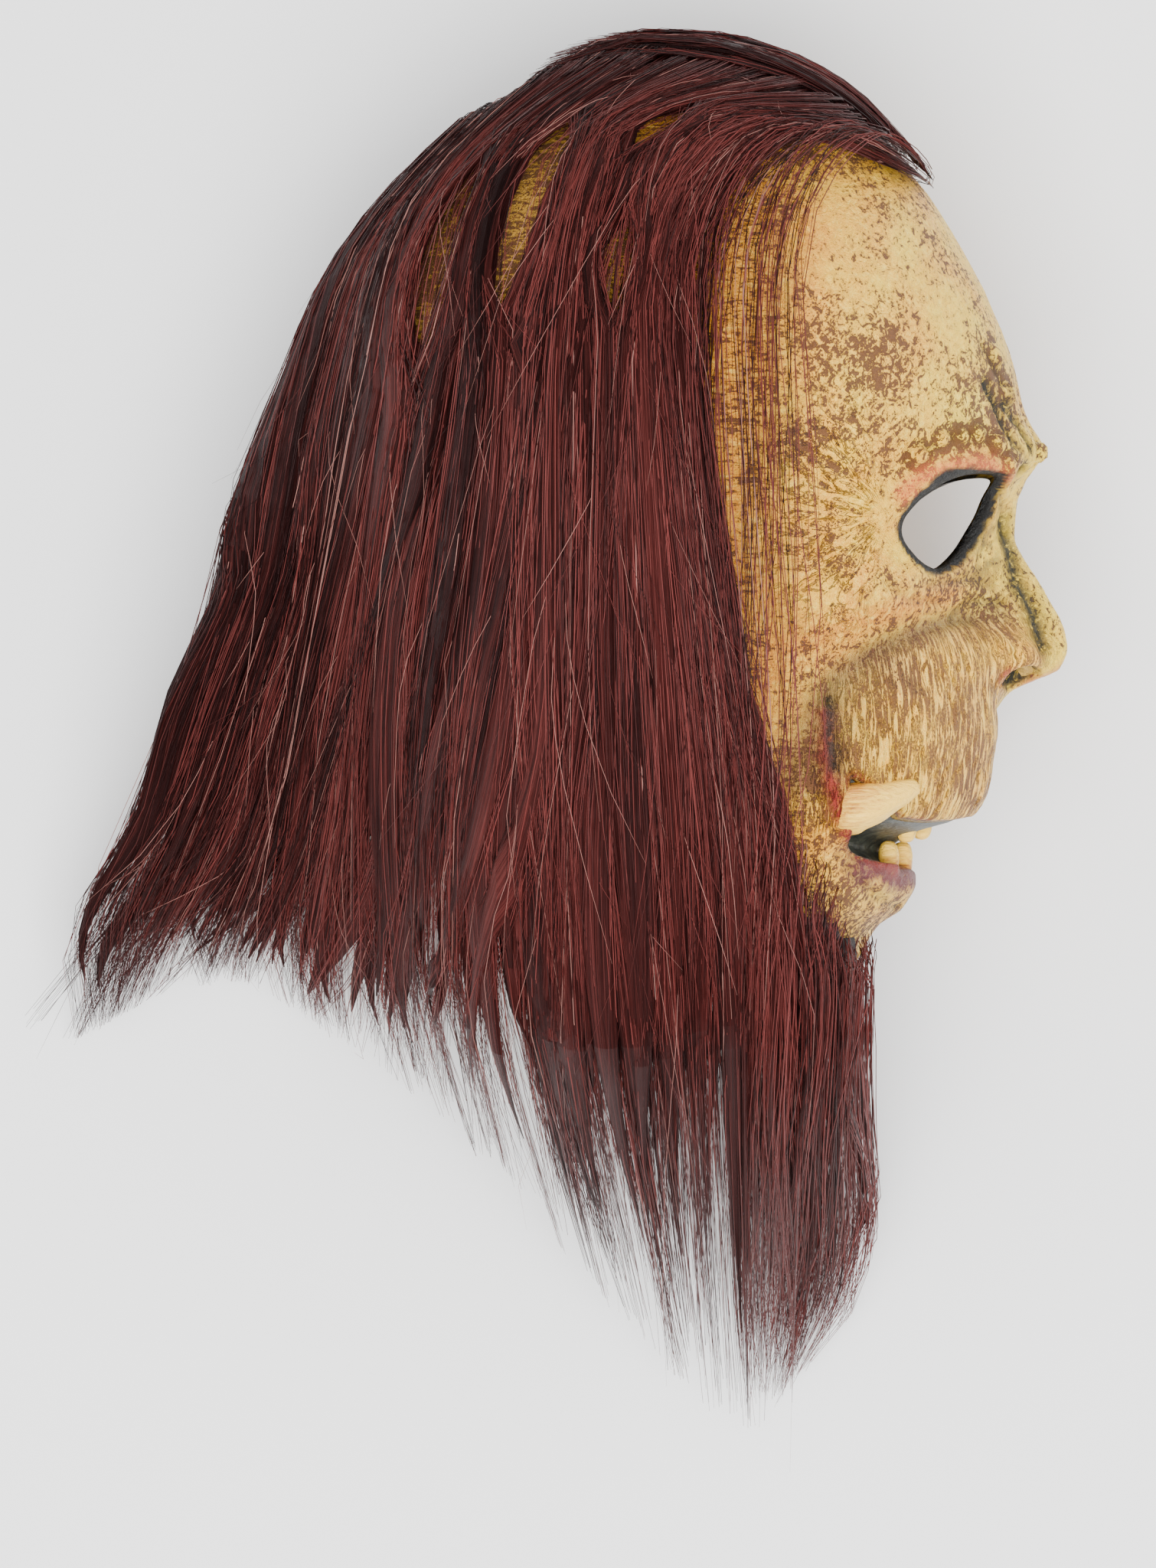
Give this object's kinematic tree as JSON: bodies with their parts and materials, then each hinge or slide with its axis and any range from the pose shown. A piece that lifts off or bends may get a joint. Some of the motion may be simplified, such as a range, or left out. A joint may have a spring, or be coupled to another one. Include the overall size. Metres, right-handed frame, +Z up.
{
  "type": "orangutan mask",
  "caption": "Over-head latex ape mask with cut eye holes, open mouth with tusks, and long combed hair, lying on its side.",
  "frame": {"origin": "middle of the mask's bounding box, on the floor it lies on", "axes": "+Z up from the floor, out of the mask's right cheek; +Y from the chin to the crown; +X the way the face looks"},
  "size_m": [0.3224, 0.4387, 0.1902],
  "materials": {
    "latex_skin": "satin latex, cream yellow with dark brown dry-brushed wrinkles and grey-green grooves",
    "hair": "long straight synthetic hair, dark burgundy brown with a soft sheen"
  },
  "bodies": {
    "root": {"latex_mask": "latex_skin", "hair_right": "hair", "hair_left": "hair", "beard": "hair"}
  },
  "joints": []
}
